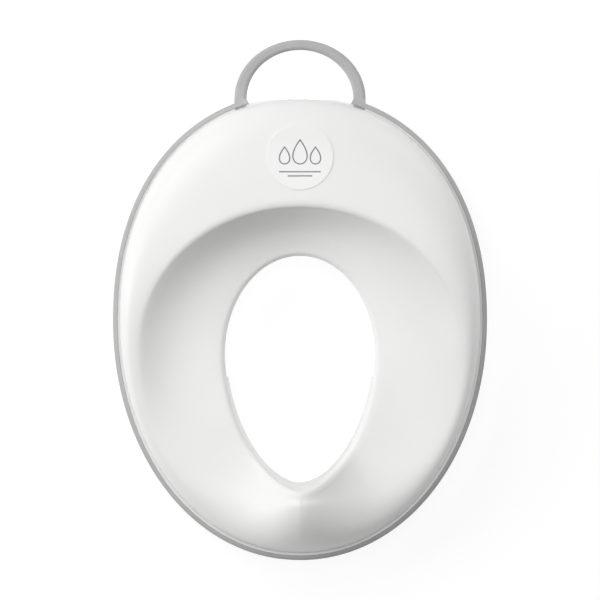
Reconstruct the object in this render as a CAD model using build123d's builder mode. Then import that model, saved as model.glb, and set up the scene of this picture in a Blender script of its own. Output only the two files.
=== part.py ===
from build123d import *
import os
from math import atan2, cos, degrees, dist, exp, hypot, pi, radians, sin, sqrt, tan

os.makedirs("parts", exist_ok=True)

# Toilet training seat, millimetres. +Z is up, +Y is the back (the hanging handle), -Y the splash hump.
# The origin is under the middle of the bounding box, on the level of the lowest edges of the two lips
# that hang inside the toilet, so the seat also stands on them on a table.

# --- plan outline and opening ---------------------------------------------------------------------
HALF_WIDTH = 155.2          # outside of the soft edge
WIDEST_Y = -16.8
BACK_REACH = 188.8          # from the widest line to the back of the outline
FRONT_REACH = 199.0
AXIS_Y = -45.0              # every radial section of the shell passes through (0, AXIS_Y)
OPENING_HALF_WIDTH = 62.4
OPENING_BACK = 81.7
OPENING_FRONT = 109.8
RIM_WIDTH = 3.8             # soft edge, seen from above
SEAT_FIT = 0.1              # slack where a soft part sits on a hard one
FLANGE_WIDTH = 2.6          # white ledge between the soft edge and the shell's wall

# --- levels ---------------------------------------------------------------------------------------
REST_Z = 42.0               # the anti-slip pads' faces, which lie on the toilet seat
FRAME_Z = 44.0              # underside of the base frame
PLATE = 3.0                 # thickness of the base frame's plate
FRAME_TOP = FRAME_Z + PLATE
FLANGE_TOP = FRAME_TOP + 3.0
RIM_BOTTOM = 43.0
RIM_TOP = 51.4

# --- shell ----------------------------------------------------------------------------------------
WALL = 2.8
LIP_RADIUS = 4.5            # roll of the edge round the opening
LIP_RISE = 10.0             # the opening's edge above the flange, at the sides
LIP_TILT = 5.0              # lower by this much at the back, and higher at the front
SIDE_CREST = 17.0           # the ridge above the flange along the thighs
BACK_CREST = 36.0           # and behind the back
HUMP_RISE = 31.5            # splash hump over the front
HUMP_ANGLE = 16.0           # its half width, as an angle about the axis
RIDGE_BLEND = 2.2
BOWL_LEAN = 0.34            # share of the bowl's rise that is an even slope
BOWL_POWER = 3.4            # the rest steepens towards the ridge
BOWL_STEPS = 8              # points of a section on the bowl, and on the outer wall
WALL_STEPS = 10
BOWL_CROWDING = 1.6         # both sets of points stand closer together near the ridge
WALL_CROWDING = 1.8
WALL_POWER = 3.4            # fullness of the rolled outer wall: square-shouldered
HUMP_WALL_POWER = 1.9       # and round in front of the hump
HUMP_WALL_ANGLE = 26.0
SECTION_STEP = 7.5
LEDGE = FLANGE_TOP - FRAME_TOP

# --- adjusting mechanism --------------------------------------------------------------------------
KNOB_Y = 80.0
MODULE = 1.2
TEETH = 15
PITCH_RADIUS = MODULE * TEETH / 2
PRESSURE_ANGLE = 20.0
BACKLASH = 0.40
TRAVEL = 23.5
GAP = 0.4                   # running clearance
LIP_FACE_RADIUS = 110.0     # rear lip, curved like the inside of a toilet seat
LIP_HALF_WIDTH = 44.0
LIP_THICKNESS = 4.0
LIP_Y = 104.0               # rear face of the rear lip, fully forward
SKIRT = 3.0
PAD = 1.6

SHAFT = 9.4                 # the knob's shaft in the plate
KEY = 6.0                   # its flatted end, in the pinion
KEY_FLAT = 1.2              # how far the flat cuts in
BAR_DEPTH = 5.0             # finger bar under the dial
BAR_WIDTH = 7.0
GRIP_BAND = 1.4             # thickness of the soft band round the dial
GRIP_RIBS = 24
GRIP_RIB = 0.9              # radius of one rib
WASHER = 1.0
WASHER_RADIUS = 6.5
FRICTION_RADIUS = 8.5
FRICTION_THICK = 0.6
HUB = 9.4                   # the pinion's hub, in the mechanism cover
KNOB_RADIUS = 15.0
KNOB_TOP = 43.0
KNOB_BOTTOM = 27.0
SLIDER_THICK = 4.0
COVER_Z = 52.2
COVER_THICK = 2.0
COVER_SCREW_LENGTH = 7.0
HUB_TOP = COVER_Z + COVER_THICK + GAP
COVER_HALF = 62.0
COVER_FRONT = 56.0
COVER_BACK = 134.0
SLOT_HALF = 47.0
SLOT_FRONT = LIP_Y - 14.0
SLOT_BACK = LIP_Y + TRAVEL + 1.0
GUSSET_X = 30.0
GUSSET_WIDTH = 3.0
RACK_BAR = 7.0              # width of the toothed bar, and of the plain one beside it
PLAIN_BAR = 6.0
SKIRT_REACH = 72.0          # the front lip, each side of straight ahead, in degrees
FRONT_PAD_REACH = 40.0

# --- fasteners ------------------------------------------------------------------------------------
SCREW = 3.2
SCREW_HEAD = 6.4
HEAD_HEIGHT = 1.8
SCREW_LENGTH = 9.0
SCREW_CROWN = 0.6           # rounding of the pan head
RECESS = (3.4, 0.8, 1.0)    # length, width and depth of one arm of the cross
PILOT = SCREW / 2 + 0.05    # radius of the hole that a screw bites into
CLEAR = SCREW / 2 + 0.2     # and of one that it passes through
BOSS = 8.4
POST_RADIUS = 3.6
FRAME_SCREW_ANGLES = (10, 34, -16, -44)
FRONT_SCREW_ANGLE = -90
HANDLE_SCREW = (49.2, 141.0)

# --- handle and badge -----------------------------------------------------------------------------
HANDLE_Y = 167.0
HANDLE_OUTER = (54.4, 48.9)
HANDLE_INNER = (44.4, 40.7)
HANDLE_INSIDE_FOOT = 41.5
BADGE_Y = 117.0
BADGE_RADIUS = 27.0
BADGE_RISE = 0.6
BADGE_DEPTH = 1.4
LEDGE_GAP = 35.0            # half the gap of the ledge between the handle's feet
CATCHES = (-8.3, 4.2)       # two small catches in that gap
CATCH = (3.2, 2.2)          # their width and how far they stand out
TONGUE = 3.0
TONGUE_WIDTH = 9.0


class Egg:
    """An oval with a different reach and fullness to the back and to the front."""

    def __init__(self, half_width, back, front, widest_y, back_power, front_power):
        self.half_width = half_width
        self.back = back
        self.front = front
        self.widest_y = widest_y
        self.back_power = back_power
        self.front_power = front_power

    def grown(self, by):
        return Egg(self.half_width + by, self.back + by, self.front + by,
                   self.widest_y, self.back_power, self.front_power)

    def holds(self, x, y):
        dy = y - self.widest_y
        reach = self.back if dy > 0 else self.front
        power = self.back_power if dy > 0 else self.front_power
        return abs(x / self.half_width) ** power + abs(dy / reach) ** power < 1

    def radius(self, angle):
        """Distance from the axis to the outline at an angle in degrees, found by halving."""
        near = 0.0
        far = 2 * (self.half_width + self.back)
        for _ in range(44):
            middle = (near + far) / 2
            if self.holds(middle * cos(radians(angle)), AXIS_Y + middle * sin(radians(angle))):
                near = middle
            else:
                far = middle
        return near

    def point(self, angle):
        reach = self.radius(angle)
        return (reach * cos(radians(angle)), AXIS_Y + reach * sin(radians(angle)))


TRIM = Egg(HALF_WIDTH, BACK_REACH, FRONT_REACH, WIDEST_Y, 2.18, 2.04)
FLANGE = TRIM.grown(-RIM_WIDTH)
FOOT = TRIM.grown(-RIM_WIDTH - FLANGE_WIDTH)
OPENING = Egg(OPENING_HALF_WIDTH, OPENING_BACK, OPENING_FRONT, AXIS_Y, 2.0, 1.8)
CREST = Egg(130.6, 114.2, 127.0, -37.5, 2.0, 2.4)


def ease(t):
    t = min(1.0, max(0.0, t))
    return t * t * (3 - 2 * t)


def hump(angle):
    return HUMP_RISE * exp(-((angle + 90) / HUMP_ANGLE) ** 2)


def lip_height(angle):
    return FLANGE_TOP + LIP_RISE - LIP_TILT * sin(radians(angle)) + hump(angle)


def crest_height(angle):
    swell = ease((sin(radians(angle)) + 0.6) / 1.45)
    return FLANGE_TOP + SIDE_CREST + (BACK_CREST - SIDE_CREST) * swell + hump(angle)


def wall_power(angle):
    return WALL_POWER - (WALL_POWER - HUMP_WALL_POWER) * exp(-((angle + 90) / HUMP_WALL_ANGLE) ** 2)


def shell_height(angle, reach):
    """Height of the shell's outer face at a distance from the axis, for an angle of -90 to 90."""
    lip_at = OPENING.radius(angle) + LIP_RADIUS
    crest_at = CREST.radius(angle)
    foot_at = FOOT.radius(angle)
    rise = crest_height(angle) - lip_height(angle)
    along = max(0.0, (reach - lip_at) / (crest_at - lip_at))
    bowl = lip_height(angle) + rise * (BOWL_LEAN * along + (1 - BOWL_LEAN) * along ** BOWL_POWER)
    out = min(1.0, max(0.0, (reach - crest_at) / (foot_at - crest_at)))
    power = wall_power(angle)
    fall = (1 - out ** power) ** (1 / power)
    wall = FLANGE_TOP + (crest_height(angle) - FLANGE_TOP) * fall
    return (bowl + wall - sqrt((bowl - wall) ** 2 + RIDGE_BLEND ** 2)) / 2


def profile(angle, depth):
    """Points (distance, height) from the opening to the foot of the wall, depth below the outer face."""
    lip_at = OPENING.radius(angle) + LIP_RADIUS
    crest_at = CREST.radius(angle)
    foot_at = FOOT.radius(angle)
    roll = LIP_RADIUS - depth
    roll_centre = shell_height(angle, lip_at) - LIP_RADIUS
    points = []
    for turn in (0, 30, 60):
        points.append((lip_at - roll * cos(radians(turn)), roll_centre + roll * sin(radians(turn))))
    stations = [crest_at - (crest_at - lip_at) * (1 - step / BOWL_STEPS) ** BOWL_CROWDING
                for step in range(BOWL_STEPS)]
    for step in range(WALL_STEPS):
        out = sin(radians(90 * step / WALL_STEPS)) ** WALL_CROWDING
        stations.append(crest_at + (foot_at - crest_at) * out)
    if depth > 0:
        # the inner face rounds the ridge off, so it has no points just there
        del stations[BOWL_STEPS - 1:BOWL_STEPS + 2]
    for reach in stations:
        slope = (shell_height(angle, reach + 0.1) - shell_height(angle, reach - 0.1)) / 0.2
        square = hypot(1, slope)
        points.append((reach + depth * slope / square, shell_height(angle, reach) - depth / square))
    points.append((foot_at - depth, FLANGE_TOP))
    return points


def shared_pace(profiles):
    """One set of spline parameters for all the sections, so that the skin doesn't ripple between them."""
    paces = []
    for points in profiles:
        steps = [dist(here, there) for here, there in zip(points, points[1:])]
        paces.append([sum(steps[:count]) / sum(steps) for count in range(len(points))])
    return [sum(column) / len(paces) for column in zip(*paces)]


def mirrored(angle):
    """The angle in the half plane x >= 0 that has the same section."""
    if angle > 90:
        return 180 - angle
    if angle < -90:
        return -180 - angle
    return angle


def section_plane(angle):
    out = (cos(radians(angle)), sin(radians(angle)), 0)
    side = (sin(radians(angle)), -cos(radians(angle)), 0)
    return Plane(origin=(0, AXIS_Y, 0), x_dir=out, z_dir=side)


def egg_points(egg, start, end, count):
    return [egg.point(start + (end - start) * index / count) for index in range(count + 1)]


def egg_sketch(egg, height, count=48):
    """A closed sketch of the whole oval at a height."""
    with BuildSketch(Plane.XY.offset(height)) as sketch:
        with BuildLine():
            Spline(*egg_points(egg, -90, 270, count)[:-1], periodic=True)
        make_face()
    return sketch.sketch


def egg_band(inner, outer, start, end, bottom, top, count=24):
    """A solid band between two ovals over a range of angles."""
    with BuildPart() as band:
        with BuildSketch(Plane.XY.offset(bottom)):
            with BuildLine():
                away = Spline(*egg_points(outer, start, end, count))
                back = Spline(*egg_points(inner, end, start, count))
                Line(away @ 1, back @ 0)
                Line(back @ 1, away @ 0)
            make_face()
        extrude(amount=top - bottom)
    return band.part


def save(piece, name):
    piece.label = name
    export_step(piece, "parts/" + name + ".step")


def screw_part(places, head_z, head_height, length, upward=True):
    """Pan-head screws with a cross recess: heads at head_z, shanks pointing up or down."""
    with BuildPart() as screws:
        with Locations(*[(x, y, head_z) for x, y in places]):
            Cylinder(SCREW_HEAD / 2, head_height, align=(Align.CENTER, Align.CENTER, Align.MIN))
        crown = screws.faces().group_by(Axis.Z)[0 if upward else -1]
        fillet(crown.edges(), SCREW_CROWN)
        shank_z = head_z + head_height if upward else head_z - length
        with Locations(*[(x, y, shank_z) for x, y in places]):
            Cylinder(SCREW / 2, length, align=(Align.CENTER, Align.CENTER, Align.MIN))
        slot_z = head_z if upward else head_z + head_height
        with Locations(*[(x, y, slot_z) for x, y in places]):
            Box(RECESS[0], RECESS[1], 2 * RECESS[2], mode=Mode.SUBTRACT)
            Box(RECESS[1], RECESS[0], 2 * RECESS[2], mode=Mode.SUBTRACT)
    return screws.part


def both_sides(points):
    return [(side * x, y) for x, y in points for side in (1, -1)]


def shell_top(x, y):
    """Height of the shell's outer face over a point of the plan."""
    return shell_height(mirrored(degrees(atan2(y - AXIS_Y, x))), hypot(x, y - AXIS_Y))


def boss_top(x, y):
    """The lowest point of the outer face round a boss, less half the roof's thickness."""
    ring = [radians(360 * index / 12) for index in range(12)]
    lowest = min(shell_top(x + BOSS / 2 * cos(turn), y + BOSS / 2 * sin(turn)) for turn in ring)
    return lowest - WALL / 2


def boss_place(angle):
    """A point under the ridge for a screw boss, and the boss's height."""
    reach = CREST.radius(angle) + 3.0
    x = reach * cos(radians(angle))
    y = AXIS_Y + reach * sin(radians(angle))
    return (x, y, boss_top(x, y))


side_bosses = [boss_place(angle) for angle in FRAME_SCREW_ANGLES]
BACK_EDGE_Y = FOOT.point(90)[1] + 0.2
bosses = [(side * x, y, height) for x, y, height in side_bosses for side in (1, -1)]
bosses.append(boss_place(FRONT_SCREW_ANGLE))
frame_screw_places = [(x, y) for x, y, _ in bosses]
handle_screw_places = both_sides([HANDLE_SCREW])
cover_screw_places = both_sides([(COVER_HALF - 4, COVER_FRONT + 6), (COVER_HALF - 4, COVER_BACK - 5)])
handle_boss_top = boss_top(*HANDLE_SCREW)

# --- seat shell: one white moulding, lofted through radial sections -------------------------------
section_angles = [-90 + SECTION_STEP * index for index in range(-1, round(180 / SECTION_STEP) + 2)]
outer_profiles = [profile(mirrored(angle), 0) for angle in section_angles]
inner_profiles = [profile(mirrored(angle), WALL) for angle in section_angles]
outer_pace = shared_pace(outer_profiles)
inner_pace = shared_pace(inner_profiles)
with BuildPart() as seat_shell:
    for angle, outer in zip(section_angles, outer_profiles):
        flange_at = FLANGE.radius(mirrored(angle))
        with BuildSketch(section_plane(angle)):
            with BuildLine():
                Line((outer[0][0], FRAME_TOP), outer[0])
                add(Edge.make_spline([Vector(*point) for point in outer], parameters=outer_pace))
                Line(outer[-1], (flange_at, FLANGE_TOP))
                Line((flange_at, FLANGE_TOP), (flange_at, FRAME_TOP))
                Line((flange_at, FRAME_TOP), (outer[0][0], FRAME_TOP))
            make_face()
    loft()
    for angle, inner in zip(section_angles, inner_profiles):
        with BuildSketch(section_plane(angle)):
            with BuildLine():
                Line((inner[0][0], FRAME_TOP - 1), inner[0])
                add(Edge.make_spline([Vector(*point) for point in inner], parameters=inner_pace))
                Line(inner[-1], (inner[-1][0], FRAME_TOP - 1))
                Line((inner[-1][0], FRAME_TOP - 1), (inner[0][0], FRAME_TOP - 1))
            make_face()
    loft(mode=Mode.SUBTRACT)
    split(bisect_by=Plane.YZ)
    mirror(about=Plane.YZ)
    # a boss for each screw, its top buried in the roof
    for x, y, height in bosses:
        with BuildSketch(Plane.XY.offset(FRAME_TOP)):
            with Locations((x, y)):
                Circle(BOSS / 2)
                Circle(PILOT, mode=Mode.SUBTRACT)
        extrude(amount=height - FRAME_TOP)
    with BuildSketch(Plane.XY.offset(FRAME_TOP + TONGUE + 0.1)):
        with Locations(*handle_screw_places):
            Circle(BOSS / 2)
            Circle(PILOT, mode=Mode.SUBTRACT)
    extrude(amount=handle_boss_top - FRAME_TOP - TONGUE - 0.1)
    # the ledge stops between the handle's feet, and a slot on each side lets the handle's tongue in
    with Locations((0, BACK_EDGE_Y + 10, FRAME_TOP)):
        Box(2 * LEDGE_GAP, 20, LEDGE, align=(Align.CENTER, Align.CENTER, Align.MIN), mode=Mode.SUBTRACT)
    with Locations(*[(x, BACK_EDGE_Y, FRAME_TOP) for x in CATCHES]):
        Box(*CATCH, LEDGE, align=(Align.CENTER, Align.CENTER, Align.MIN))
    with Locations(*[(x, HANDLE_Y - 10, FRAME_TOP) for x, _ in handle_screw_places]):
        Box(TONGUE_WIDTH + 0.2, 24, TONGUE + 0.1,
            align=(Align.CENTER, Align.CENTER, Align.MIN), mode=Mode.SUBTRACT)
save(seat_shell.part, "seat_shell")

# --- badge disc: a thin raised disc that follows the roof -----------------------------------------
badge_reach = 1.15 * BADGE_RADIUS
badge_stations = [BADGE_Y + badge_reach * (step / 4 - 1) for step in range(9)]
badge_line = [(y, shell_height(90, y - AXIS_Y)) for y in badge_stations]
with BuildPart() as badge_disc:
    with BuildSketch(Plane.YZ):
        with BuildLine():
            top = Spline(*[(y, height + BADGE_RISE) for y, height in badge_line])
            bottom = Spline(*[(y, height - BADGE_DEPTH) for y, height in badge_line])
            Line(top @ 0, bottom @ 0)
            Line(top @ 1, bottom @ 1)
        make_face()
    extrude(amount=1.2 * BADGE_RADIUS, both=True)
    with Locations((0, BADGE_Y, FRAME_TOP)):
        Cylinder(BADGE_RADIUS, 100, mode=Mode.INTERSECT)
    add(seat_shell.part, mode=Mode.SUBTRACT)
save(badge_disc.part, "badge_disc")

# --- soft rim: the grey edge, clipped over the ledge and the plate's edge, open between the feet ---
with BuildPart() as soft_rim:
    add(egg_sketch(TRIM, RIM_BOTTOM))
    extrude(amount=RIM_TOP - RIM_BOTTOM)
    fillet(soft_rim.edges(), 2.0)
    add(egg_sketch(FLANGE.grown(SEAT_FIT), RIM_BOTTOM - 1))
    extrude(amount=RIM_TOP - RIM_BOTTOM + 2, mode=Mode.SUBTRACT)
    with Locations((0, HANDLE_Y, RIM_BOTTOM - 1)):
        Box(2 * HANDLE_OUTER[0], 60, 20, align=(Align.CENTER, Align.CENTER, Align.MIN), mode=Mode.SUBTRACT)
save(soft_rim.part, "soft_rim")

# --- carry handle: a flattened loop with two feet and two tongues that run in under the shell ------
with BuildPart() as carry_handle:
    with BuildSketch(Plane.XY.offset(RIM_BOTTOM)):
        with Locations((0, HANDLE_Y)):
            Ellipse(*HANDLE_OUTER)
            Ellipse(*HANDLE_INNER, mode=Mode.SUBTRACT)
    extrude(amount=RIM_TOP - RIM_BOTTOM)
    fillet(carry_handle.edges().filter_by(GeomType.LINE, reverse=True), 3.0)
    split(bisect_by=Plane.XZ.offset(-HANDLE_Y), keep=Keep.BOTTOM)
    with BuildSketch(Plane.XY.offset(RIM_BOTTOM)):
        for side in (1, -1):
            with BuildLine():
                Polyline((side * HANDLE_OUTER[0], HANDLE_Y), (side * HANDLE_INNER[0], HANDLE_Y),
                         (side * HANDLE_INSIDE_FOOT, HANDLE_Y - 6), (side * HANDLE_INSIDE_FOOT, 150),
                         (side * HANDLE_OUTER[0], 150), close=True)
            make_face()
    extrude(amount=RIM_TOP - RIM_BOTTOM)
    add(egg_sketch(FLANGE.grown(SEAT_FIT), RIM_BOTTOM - 1))
    extrude(amount=RIM_TOP - RIM_BOTTOM + 2, mode=Mode.SUBTRACT)
    with BuildSketch(Plane.XY.offset(FRAME_TOP)):
        with Locations(*[(x, (HANDLE_SCREW[1] + HANDLE_Y) / 2 - 3) for x, _ in handle_screw_places]):
            Rectangle(TONGUE_WIDTH, HANDLE_Y - HANDLE_SCREW[1] + 6)
        with Locations(*handle_screw_places):
            Circle(CLEAR, mode=Mode.SUBTRACT)
    extrude(amount=TONGUE)
save(carry_handle.part, "carry_handle")

# --- base frame: the plate that closes the underside, with the front lip that hangs in the toilet --
with BuildPart() as base_frame:
    add(egg_sketch(FLANGE, FRAME_Z))
    extrude(amount=PLATE)
    add(egg_band(OPENING.grown(-2), OPENING.grown(SKIRT),
                 -SKIRT_REACH - 90, SKIRT_REACH - 90, 0, FRAME_Z + 1))
    add(egg_sketch(OPENING, -1))
    extrude(amount=FRAME_TOP + 2, mode=Mode.SUBTRACT)
    # the plate's edge stops at the shell's wall between the handle's feet
    with Locations((0, BACK_EDGE_Y + 10, FRAME_Z)):
        Box(2 * LEDGE_GAP, 20, PLATE, align=(Align.CENTER, Align.CENTER, Align.MIN), mode=Mode.SUBTRACT)
    # slot for the rear lip, the knob's bearing hole, and the screw holes
    with BuildSketch(Plane.XY.offset(FRAME_Z - 1)):
        with Locations((0, (SLOT_FRONT + SLOT_BACK) / 2)):
            RectangleRounded(2 * SLOT_HALF, SLOT_BACK - SLOT_FRONT, 4)
        with Locations((0, KNOB_Y)):
            Circle(SHAFT / 2 + GAP / 2)
        with Locations(*frame_screw_places, *handle_screw_places):
            Circle(CLEAR)
    extrude(amount=PLATE + 2, mode=Mode.SUBTRACT)
    with BuildSketch(Plane.XY.offset(FRAME_Z)):
        with Locations(*frame_screw_places, *handle_screw_places):
            Circle(SCREW_HEAD / 2 + 0.3)
    extrude(amount=HEAD_HEIGHT, mode=Mode.SUBTRACT)
    # four posts carry the mechanism cover
    with BuildSketch(Plane.XY.offset(FRAME_TOP)):
        with Locations(*cover_screw_places):
            Circle(POST_RADIUS)
            Circle(PILOT, mode=Mode.SUBTRACT)
    extrude(amount=COVER_Z - FRAME_TOP)
save(base_frame.part, "base_frame")

# --- front grip pad: soft facing on the front lip -------------------------------------------------
front_grip_pad = egg_band(OPENING.grown(SKIRT + SEAT_FIT), OPENING.grown(SKIRT + PAD),
                          -FRONT_PAD_REACH - 90, FRONT_PAD_REACH - 90, 7, 36)
save(front_grip_pad, "front_grip_pad")

# --- rest pads: four anti-slip strips under the plate ---------------------------------------------
PAD_INNER = TRIM.grown(-34)
PAD_OUTER = TRIM.grown(-14)
REST_PADS = {"rest_pad_front_right": (-68, -50), "rest_pad_front_left": (-130, -112),
             "rest_pad_rear_right": (42, 66), "rest_pad_rear_left": (114, 138)}
for name, (start, end) in REST_PADS.items():
    save(egg_band(PAD_INNER, PAD_OUTER, start, end, REST_Z, FRAME_Z), name)

# --- slider: two bars, a bridge and the rear lip in one moulding ----------------------------------
RACK_Z = FRAME_TOP + GAP
BAR_FRONT = 50.0
BRIDGE_FRONT = LIP_Y - 12
rack_pitch = pi * MODULE
tooth_out = 0.55 * MODULE
tooth_in = 1.15 * MODULE
flank = tan(radians(PRESSURE_ANGLE))
with BuildPart() as slider_rack:
    with BuildSketch(Plane.XY.offset(RACK_Z)):
        with Locations((PITCH_RADIUS + tooth_in + RACK_BAR / 2, (BAR_FRONT + BRIDGE_FRONT) / 2 + 2)):
            Rectangle(RACK_BAR, BRIDGE_FRONT - BAR_FRONT + 4)
        with Locations((-PITCH_RADIUS - tooth_in - PLAIN_BAR / 2 - 2, (BAR_FRONT + BRIDGE_FRONT) / 2 + 2)):
            Rectangle(PLAIN_BAR, BRIDGE_FRONT - BAR_FRONT + 4)
        with Locations((0, (BRIDGE_FRONT + LIP_Y + 3) / 2)):
            RectangleRounded(2 * (SLOT_HALF + 4), LIP_Y + 3 - BRIDGE_FRONT, 3)
        # rack teeth, with a space on the pinion's centre line
        for index in range(-7, 3):
            tooth_y = KNOB_Y + (index + 0.5) * rack_pitch
            half = rack_pitch / 4 - BACKLASH / 2
            if tooth_y - half - flank * tooth_in > BAR_FRONT:
                with BuildLine():
                    Polyline((PITCH_RADIUS - tooth_out, tooth_y - half + flank * tooth_out),
                             (PITCH_RADIUS + tooth_in, tooth_y - half - flank * tooth_in),
                             (PITCH_RADIUS + tooth_in + 1, tooth_y),
                             (PITCH_RADIUS + tooth_in, tooth_y + half + flank * tooth_in),
                             (PITCH_RADIUS - tooth_out, tooth_y + half - flank * tooth_out), close=True)
                make_face()
    extrude(amount=SLIDER_THICK)
    # the rear lip, an arc band from the floor up through the slot
    with BuildSketch():
        with Locations((0, LIP_Y - LIP_FACE_RADIUS)):
            Circle(LIP_FACE_RADIUS)
            Circle(LIP_FACE_RADIUS - LIP_THICKNESS, mode=Mode.SUBTRACT)
        with Locations((0, LIP_Y)):
            Rectangle(2 * LIP_HALF_WIDTH, 30, mode=Mode.INTERSECT)
    extrude(amount=RACK_Z + 1)
    # gussets behind the knob's sides
    for side in (1, -1):
        with BuildSketch(Plane.YZ.offset(side * GUSSET_X - GUSSET_WIDTH / 2)):
            with BuildLine():
                Polyline((LIP_Y - 6, RACK_Z + 1), (LIP_Y - 6, 14), (LIP_Y - 12.5, RACK_Z + 1), close=True)
            make_face()
        extrude(amount=GUSSET_WIDTH)
save(slider_rack.part, "slider_rack")

# --- slider grip pad: soft facing on the rear lip --------------------------------------------------
with BuildPart() as slider_grip_pad:
    with BuildSketch(Plane.XY.offset(6)):
        with Locations((0, LIP_Y - LIP_FACE_RADIUS)):
            Circle(LIP_FACE_RADIUS + PAD)
            Circle(LIP_FACE_RADIUS, mode=Mode.SUBTRACT)
        with Locations((0, LIP_Y)):
            Rectangle(2 * LIP_HALF_WIDTH - 10, 30, mode=Mode.INTERSECT)
    extrude(amount=30)
save(slider_grip_pad.part, "slider_grip_pad")

# --- drive pinion: fifteen involute teeth and a hub ------------------------------------------------


def knob_plane(height):
    return Plane(origin=(0, KNOB_Y, height))


def involute_point(base, reach, side, phase):
    """A point of the tooth flank at a distance from the centre."""
    roll = sqrt((reach / base) ** 2 - 1)
    turn = roll - atan2(roll, 1)
    return (reach * cos(phase + side * turn), reach * sin(phase + side * turn))


base_radius = PITCH_RADIUS * cos(radians(PRESSURE_ANGLE))
root_radius = PITCH_RADIUS - 1.2 * MODULE
tip_radius = PITCH_RADIUS + 0.95 * MODULE
pitch_roll = tan(radians(PRESSURE_ANGLE)) - radians(PRESSURE_ANGLE)
half_tooth = pi / (2 * TEETH) - BACKLASH / (2 * PITCH_RADIUS)
tooth_foot = root_radius - 0.4
foot_x = tooth_foot * cos(half_tooth)
foot_y = tooth_foot * sin(half_tooth)
flank_radii = [base_radius + (tip_radius - base_radius) * step / 4 for step in range(5)]
with BuildPart() as drive_pinion:
    with BuildSketch(knob_plane(RACK_Z)):
        Circle(root_radius)
        with BuildLine(mode=Mode.PRIVATE) as tooth_outline:
            upper = Spline(*[involute_point(base_radius, reach, -1, half_tooth + pitch_roll)
                             for reach in flank_radii])
            lower = Spline(*[involute_point(base_radius, reach, 1, -half_tooth - pitch_roll)
                             for reach in flank_radii])
            Line(upper @ 1, lower @ 1)
            Polyline(upper @ 0, (foot_x, foot_y), (foot_x, -foot_y), lower @ 0)
        tooth = make_face(tooth_outline.edges(), mode=Mode.PRIVATE)
        with PolarLocations(0, TEETH):
            add(tooth)
    extrude(amount=SLIDER_THICK)
    with BuildSketch(knob_plane(RACK_Z + SLIDER_THICK)):
        Circle(HUB / 2)
    extrude(amount=HUB_TOP - RACK_Z - SLIDER_THICK)
    with BuildSketch(knob_plane(RACK_Z - 1)):
        Circle(KEY / 2)
        with Locations((KEY / 2, 0)):
            Rectangle(2 * KEY_FLAT, KEY, mode=Mode.SUBTRACT)
    extrude(amount=HUB_TOP - RACK_Z + 2, mode=Mode.SUBTRACT)
save(drive_pinion.part, "drive_pinion")

# --- adjusting knob: a dial with a finger bar, its shaft and its flatted end ------------------------
with BuildPart() as adjusting_knob:
    with BuildSketch(knob_plane(KNOB_BOTTOM)):
        Circle(KNOB_RADIUS)
    extrude(amount=KNOB_TOP - KNOB_BOTTOM)
    chamfer(adjusting_knob.faces().sort_by(Axis.Z)[0].edges(), 1.2)
    with BuildSketch(knob_plane(KNOB_BOTTOM - BAR_DEPTH)):
        SlotOverall(2 * KNOB_RADIUS - 5, BAR_WIDTH, rotation=90)
    extrude(amount=BAR_DEPTH)
    fillet(adjusting_knob.faces().sort_by(Axis.Z)[0].edges(), 1.5)
    with BuildSketch(knob_plane(KNOB_TOP)):
        Circle(SHAFT / 2)
    extrude(amount=RACK_Z - 0.1 - KNOB_TOP)
    with BuildSketch(knob_plane(RACK_Z - 0.1)):
        Circle(KEY / 2 - 0.05)
        with Locations((KEY / 2, 0)):
            Rectangle(2 * KEY_FLAT + 0.1, KEY, mode=Mode.SUBTRACT)
    extrude(amount=HUB_TOP - 0.3 - RACK_Z)
    with BuildSketch(knob_plane(HUB_TOP + 1)):
        Circle(PILOT)
    extrude(amount=-SCREW_LENGTH - 2, mode=Mode.SUBTRACT)
save(adjusting_knob.part, "adjusting_knob")

# --- knob grip ring: a soft ribbed band round the dial ----------------------------------------------
with BuildPart() as knob_grip_ring:
    with BuildSketch(knob_plane(KNOB_BOTTOM + 2.5)):
        Circle(KNOB_RADIUS + GRIP_BAND)
        with PolarLocations(KNOB_RADIUS + GRIP_BAND - 0.1, GRIP_RIBS):
            Circle(GRIP_RIB)
        Circle(KNOB_RADIUS, mode=Mode.SUBTRACT)
    extrude(amount=KNOB_TOP - KNOB_BOTTOM - 4.5)
save(knob_grip_ring.part, "knob_grip_ring")

# --- washers, knob screw ------------------------------------------------------------------------------
with BuildPart() as friction_washer:
    with BuildSketch(knob_plane(KNOB_TOP)):
        Circle(FRICTION_RADIUS)
        Circle(SHAFT / 2 + 0.15, mode=Mode.SUBTRACT)
    extrude(amount=FRICTION_THICK)
save(friction_washer.part, "friction_washer")

with BuildPart() as knob_washer:
    with BuildSketch(knob_plane(HUB_TOP)):
        Circle(WASHER_RADIUS)
        Circle(CLEAR, mode=Mode.SUBTRACT)
    extrude(amount=WASHER)
save(knob_washer.part, "knob_washer")

save(screw_part([(0, KNOB_Y)], HUB_TOP + WASHER, HEAD_HEIGHT, SCREW_LENGTH, upward=False), "knob_screw")

# --- mechanism cover: the inside plate that keeps the slider down and steadies the pinion's hub ------
with BuildPart() as mechanism_cover:
    with BuildSketch(Plane.XY.offset(COVER_Z)):
        with Locations((0, (COVER_FRONT + COVER_BACK) / 2)):
            RectangleRounded(2 * COVER_HALF, COVER_BACK - COVER_FRONT, 5)
        with Locations((0, KNOB_Y)):
            Circle(HUB / 2 + GAP, mode=Mode.SUBTRACT)
        with Locations(*cover_screw_places):
            Circle(CLEAR, mode=Mode.SUBTRACT)
    extrude(amount=COVER_THICK)
save(mechanism_cover.part, "mechanism_cover")

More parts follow.
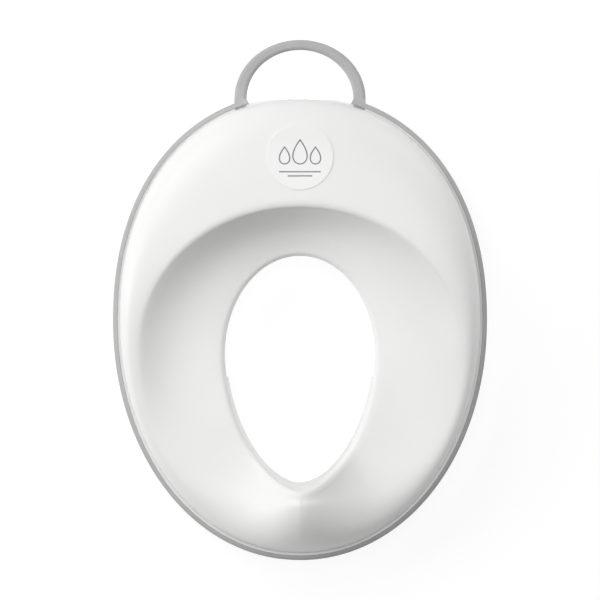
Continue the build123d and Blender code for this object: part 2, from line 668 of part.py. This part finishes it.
cover_top = COVER_Z + COVER_THICK
save(screw_part(cover_screw_places, cover_top, HEAD_HEIGHT, COVER_SCREW_LENGTH, upward=False), "cover_screws")
save(screw_part(frame_screw_places, FRAME_Z, HEAD_HEIGHT, SCREW_LENGTH), "frame_screws")
save(screw_part(handle_screw_places, FRAME_Z, HEAD_HEIGHT, SCREW_LENGTH), "handle_screws")
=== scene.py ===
from math import cos, radians, sin

import bpy
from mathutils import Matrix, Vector


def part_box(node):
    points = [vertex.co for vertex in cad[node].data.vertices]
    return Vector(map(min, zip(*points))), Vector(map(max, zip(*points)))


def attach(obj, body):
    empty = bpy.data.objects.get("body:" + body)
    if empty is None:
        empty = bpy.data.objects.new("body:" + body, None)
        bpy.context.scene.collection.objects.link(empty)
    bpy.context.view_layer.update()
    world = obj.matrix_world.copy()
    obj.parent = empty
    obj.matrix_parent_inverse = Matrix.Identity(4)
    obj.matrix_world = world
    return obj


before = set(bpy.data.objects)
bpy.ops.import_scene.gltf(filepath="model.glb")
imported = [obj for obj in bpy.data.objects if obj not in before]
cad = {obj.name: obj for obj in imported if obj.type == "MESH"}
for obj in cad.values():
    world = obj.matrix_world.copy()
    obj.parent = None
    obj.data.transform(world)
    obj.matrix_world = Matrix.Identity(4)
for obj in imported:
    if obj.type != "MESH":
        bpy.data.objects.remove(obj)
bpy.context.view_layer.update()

# ---------------------------------------------------------------------------------------------------
# The seat shell is one white polypropylene moulding with a fine spark-eroded texture. It keeps its CAD
# shape. The flow of the plastic in the tool leaves a very faint unevenness in its shade and its gloss.
MM = 0.001


def shader(name, colour, roughness, specular=0.5):
    """A new material with its colour, roughness and gloss on the shader's own sockets."""
    material = bpy.data.materials.new(name)
    material.use_nodes = True
    bsdf = material.node_tree.nodes["Principled BSDF"]
    bsdf.inputs["Base Color"].default_value = (*colour, 1)
    bsdf.inputs["Roughness"].default_value = roughness
    bsdf.inputs["Specular IOR Level"].default_value = specular
    return material, material.node_tree, bsdf


def noise(tree, scale, detail=2.0, rough=0.5):
    """A noise pattern in the object's own space, its scale given as repeats in a metre."""
    place = tree.nodes.new("ShaderNodeTexCoord")
    pattern = tree.nodes.new("ShaderNodeTexNoise")
    pattern.inputs["Scale"].default_value = scale
    pattern.inputs["Detail"].default_value = detail
    pattern.inputs["Roughness"].default_value = rough
    tree.links.new(place.outputs["Object"], pattern.inputs["Vector"])
    return pattern


def between(tree, pattern, low, high):
    """The pattern's 0 to 1 spread from low to high."""
    spread = tree.nodes.new("ShaderNodeMapRange")
    spread.inputs["To Min"].default_value = low
    spread.inputs["To Max"].default_value = high
    tree.links.new(pattern.outputs["Fac"], spread.inputs["Value"])
    return spread


def blended_colour(tree, bsdf, pattern, first, second):
    """Base colour that drifts between two shades with the pattern."""
    ramp = tree.nodes.new("ShaderNodeValToRGB")
    for stop, place, colour in zip(ramp.color_ramp.elements, (0.35, 0.65), (first, second)):
        stop.position = place
        stop.color = (*colour, 1)
    tree.links.new(pattern.outputs["Fac"], ramp.inputs["Fac"])
    tree.links.new(ramp.outputs["Color"], bsdf.inputs["Base Color"])


def grain(tree, bsdf, scale, depth_mm):
    """A fine moulded grain as bump, its depth in millimetres."""
    pattern = noise(tree, scale)
    bump = tree.nodes.new("ShaderNodeBump")
    bump.inputs["Strength"].default_value = 1.0
    bump.inputs["Distance"].default_value = depth_mm * MM
    tree.links.new(pattern.outputs["Fac"], bump.inputs["Height"])
    tree.links.new(bump.outputs["Normal"], bsdf.inputs["Normal"])


def white_plastic(name, colour, other, roughness, grain_scale, grain_depth):
    """Moulded plastic with a close grain, whose shade and gloss drift slightly over the piece."""
    material, tree, bsdf = shader(name, colour, roughness, 0.42)
    blended_colour(tree, bsdf, noise(tree, 14, 3.0), colour, other)
    gloss = between(tree, noise(tree, 60, 4.0), roughness - 0.04, roughness + 0.05)
    tree.links.new(gloss.outputs["Result"], bsdf.inputs["Roughness"])
    grain(tree, bsdf, grain_scale, grain_depth)
    return material


def wears(node, material):
    """Gives a CAD node its finish."""
    mesh = cad[node].data
    mesh.materials.clear()
    mesh.materials.append(material)


shell_white = white_plastic("white_polypropylene_shell", (0.845, 0.845, 0.838), (0.835, 0.835, 0.828),
                            0.42, 1900, 0.006)
wears("seat_shell", shell_white)


# ---------------------------------------------------------------------------------------------------
# The soft edge and the hanging loop are grey thermoplastic elastomer, moulded matte. The edge is
# clipped over the shell's ledge, and the loop's tongues are screwed between the shell and the frame.
def grey_rubber(name, colour, other, roughness, grain_scale, grain_depth):
    """Matte elastomer with a close grain and slightly uneven gloss."""
    material, tree, bsdf = shader(name, colour, roughness, 0.3)
    blended_colour(tree, bsdf, noise(tree, 25, 4.0), colour, other)
    gloss = between(tree, noise(tree, 180, 3.0), roughness - 0.06, roughness + 0.06)
    tree.links.new(gloss.outputs["Result"], bsdf.inputs["Roughness"])
    grain(tree, bsdf, grain_scale, grain_depth)
    return material


soft_grey = grey_rubber("grey_elastomer_edge", (0.445, 0.445, 0.445), (0.425, 0.425, 0.425),
                        0.62, 2600, 0.012)
wears("soft_rim", soft_grey)
wears("carry_handle", soft_grey)

# ---------------------------------------------------------------------------------------------------
# The badge is a low disc of the same white plastic as the shell, but smoother. It lies on the back band
# and follows its curve.
badge_white = white_plastic("white_badge", (0.86, 0.86, 0.855), (0.852, 0.852, 0.847), 0.33, 3000, 0.002)
wears("badge_disc", badge_white)

# ---------------------------------------------------------------------------------------------------
# The print on the badge is a grey foil stamped on it: three water drops in outline over two plain lines.
# It is drawn flat above the badge, laid down on its curved face, and given the foil's thickness.
DROPS = ((-12.6, 9.4, 15.0), (0, 12.6, 21.0), (12.6, 9.4, 15.0))    # middle, width and height, in mm
DROP_FOOT = 110.5 * MM
PRINT_LINES = ((104.6, 34.0), (101.2, 20.0))                        # how far back, and length, in mm
LINE_WIDTH = 0.95 * MM
FOIL = 0.05 * MM
FOIL_GREY = (0.15, 0.15, 0.155)
print_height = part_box("badge_disc")[1].z + 2 * MM


def pick_tip(piece):
    """Selects the one vertex furthest back, which becomes the tip of the drop."""
    bpy.ops.mesh.select_all(action="DESELECT")
    bpy.ops.object.mode_set(mode="OBJECT")
    top = max(piece.data.vertices, key=lambda vertex: vertex.co.y)
    top.select = True
    bpy.ops.object.mode_set(mode="EDIT")


bpy.ops.object.select_all(action="DESELECT")
strokes = []
for middle, width, height in DROPS:
    radius = width * MM / 2
    bpy.ops.mesh.primitive_circle_add(vertices=64, radius=radius, fill_type="NGON",
                                      location=(middle * MM, DROP_FOOT + radius, print_height))
    drop = bpy.context.object
    bpy.ops.object.mode_set(mode="EDIT")
    bpy.ops.mesh.select_mode(type="VERT")
    pick_tip(drop)
    bpy.ops.transform.translate(value=(0, (height - width) * MM, 0), use_proportional_edit=True,
                                proportional_edit_falloff="SHARP", proportional_size=width * MM)
    bpy.ops.mesh.select_all(action="SELECT")
    bpy.ops.mesh.select_mode(type="FACE")
    bpy.ops.mesh.inset(thickness=LINE_WIDTH, depth=0)
    bpy.ops.mesh.delete(type="FACE")
    bpy.ops.object.mode_set(mode="OBJECT")
    strokes.append(drop)
for along, length in PRINT_LINES:
    bpy.ops.mesh.primitive_grid_add(x_subdivisions=30, y_subdivisions=2, size=1,
                                    location=(0, along * MM, print_height))
    line = bpy.context.object
    line.scale = (length * MM, LINE_WIDTH, 1)
    strokes.append(line)
for stroke in strokes:
    stroke.select_set(True)
bpy.context.view_layer.objects.active = strokes[1]
bpy.ops.object.join()
badge_print = bpy.context.object
badge_print.name = "badge_print"
bpy.ops.object.transform_apply(location=True, rotation=True, scale=True)
laid = badge_print.modifiers.new("laid_on_badge", "SHRINKWRAP")
laid.target = cad["badge_disc"]
laid.wrap_method = "PROJECT"
laid.use_project_z = True
laid.use_negative_direction = True
laid.use_positive_direction = False
laid.offset = FOIL
foil = badge_print.modifiers.new("foil", "SOLIDIFY")
foil.thickness = FOIL
foil.offset = 1
for modifier in ("laid_on_badge", "foil"):
    bpy.ops.object.modifier_apply(modifier=modifier)
print_grey, print_tree, print_bsdf = shader("stamped_grey_foil", FOIL_GREY, 0.38)
blended_colour(print_tree, print_bsdf, noise(print_tree, 400, 4.0), (0.13, 0.13, 0.135), (0.17, 0.17, 0.175))
grain(print_tree, print_bsdf, 4000, 0.004)
badge_print.data.materials.clear()
badge_print.data.materials.append(print_grey)
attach(badge_print, "seat")

# ---------------------------------------------------------------------------------------------------
# Underneath are the base frame and its front lip, the slider and the mechanism's cover: plain white
# polypropylene with a coarser grain than the seat. The pads are anti-slip rubber.
frame_white = white_plastic("white_polypropylene_frame", (0.82, 0.82, 0.812), (0.80, 0.80, 0.79),
                            0.5, 1200, 0.02)
for node in ("base_frame", "mechanism_cover", "slider_rack"):
    wears(node, frame_white)
pad_grey = grey_rubber("anti_slip_pad", (0.30, 0.305, 0.31), (0.27, 0.275, 0.28), 0.72, 1500, 0.03)
for node in sorted(cad):
    if node.startswith("rest_pad") or node.endswith("grip_pad"):
        wears(node, pad_grey)

# ---------------------------------------------------------------------------------------------------
# The dial is moulded in grey polypropylene and has a soft ribbed band pressed on it. The pinion on its
# shaft is natural acetal, which runs smoothly against the rack.
DIAL_GREY = (0.40, 0.405, 0.41)
knob_grey, knob_tree, knob_bsdf = shader("grey_dial", DIAL_GREY, 0.45)
blended_colour(knob_tree, knob_bsdf, noise(knob_tree, 40, 3.0), DIAL_GREY, (0.385, 0.39, 0.395))
grain(knob_tree, knob_bsdf, 1800, 0.012)
wears("adjusting_knob", knob_grey)
wears("knob_grip_ring", soft_grey)
acetal = white_plastic("natural_acetal", (0.78, 0.77, 0.72), (0.76, 0.75, 0.70), 0.35, 900, 0.004)
wears("drive_pinion", acetal)

# ---------------------------------------------------------------------------------------------------
# The pan-head screws and the washers are zinc-plated steel, slightly clouded by the plating bath.
# They hold the frame, the handle's tongues, the mechanism's cover and the dial.
ZINC = (0.62, 0.63, 0.64)
zinc, zinc_tree, zinc_bsdf = shader("zinc_plated_steel", ZINC, 0.32)
zinc_bsdf.inputs["Metallic"].default_value = 1.0
blended_colour(zinc_tree, zinc_bsdf, noise(zinc_tree, 300, 4.0), ZINC, (0.55, 0.55, 0.53))
grain(zinc_tree, zinc_bsdf, 3500, 0.006)
for node in ("cover_screws", "frame_screws", "handle_screws", "knob_screw", "knob_washer", "friction_washer"):
    wears(node, zinc)

# ---------------------------------------------------------------------------------------------------
# The floor is plain and pale, and glows a little, so that the seat's shadow hardly shows on it.
FLOOR_SIZE = 14.0
bpy.ops.object.select_all(action="DESELECT")
bpy.ops.mesh.primitive_plane_add(size=FLOOR_SIZE, location=(0, 0, 0))
floor = bpy.context.object
floor.name = "floor"
floor_white, floor_tree, floor_bsdf = shader("pale_floor", (0.25, 0.25, 0.25), 0.9, 0.0)
floor_bsdf.inputs["Emission Color"].default_value = (1, 1, 1, 1)
floor_bsdf.inputs["Emission Strength"].default_value = 0.8
floor.data.materials.append(floor_white)

# ---------------------------------------------------------------------------------------------------
# The light is soft studio light from round lamps, strongest from above and from the back left. The
# surroundings themselves give none.
LAMP_SIZE = 1.4
LAMP_DISTANCE = 2.3
SEAT_MIDDLE = Vector((0, 0, 0.06))
world = bpy.data.worlds.new("studio")
bpy.context.scene.world = world
world.use_nodes = True
world.node_tree.nodes["Background"].inputs["Strength"].default_value = 0.0


def soft_box(name, bearing, height, watts):
    """A round soft light at a bearing from straight behind the seat and a height, in degrees."""
    lamp = bpy.data.lights.new(name, "AREA")
    lamp.shape = "DISK"
    lamp.size = LAMP_SIZE
    lamp.energy = watts
    lit = bpy.data.objects.new(name, lamp)
    bpy.context.scene.collection.objects.link(lit)
    level = cos(radians(height))
    way = Vector((level * sin(radians(bearing)), level * cos(radians(bearing)), sin(radians(height))))
    lit.location = SEAT_MIDDLE + LAMP_DISTANCE * way
    lit.rotation_euler = way.to_track_quat("Z", "Y").to_euler()


soft_box("top_light", 0, 89.9, 22)
soft_box("key_light", -45, 45, 22)
soft_box("left_light", -90, 22, 20.5)
soft_box("back_light", 45, 24, 14.5)
soft_box("front_light", 135, 66, 2)

# ---------------------------------------------------------------------------------------------------
# The camera looks straight down on the seat, and its view is VIEW_WIDTH wide at the soft edge's level.
VIEW_WIDTH = 0.4974
CAMERA_HEIGHT = 2.2
SENSOR = 36
rim_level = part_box("soft_rim")[1].z
camera_data = bpy.data.cameras.new("camera")
camera_data.sensor_width = SENSOR
camera_data.lens = SENSOR * (CAMERA_HEIGHT - rim_level) / VIEW_WIDTH
camera_data.clip_end = FLOOR_SIZE
camera = bpy.data.objects.new("camera", camera_data)
bpy.context.scene.collection.objects.link(camera)
camera.location = (0, 0, CAMERA_HEIGHT)
camera.rotation_euler = (0, 0, 0)
bpy.context.scene.camera = camera
bpy.context.scene.view_settings.view_transform = "Standard"
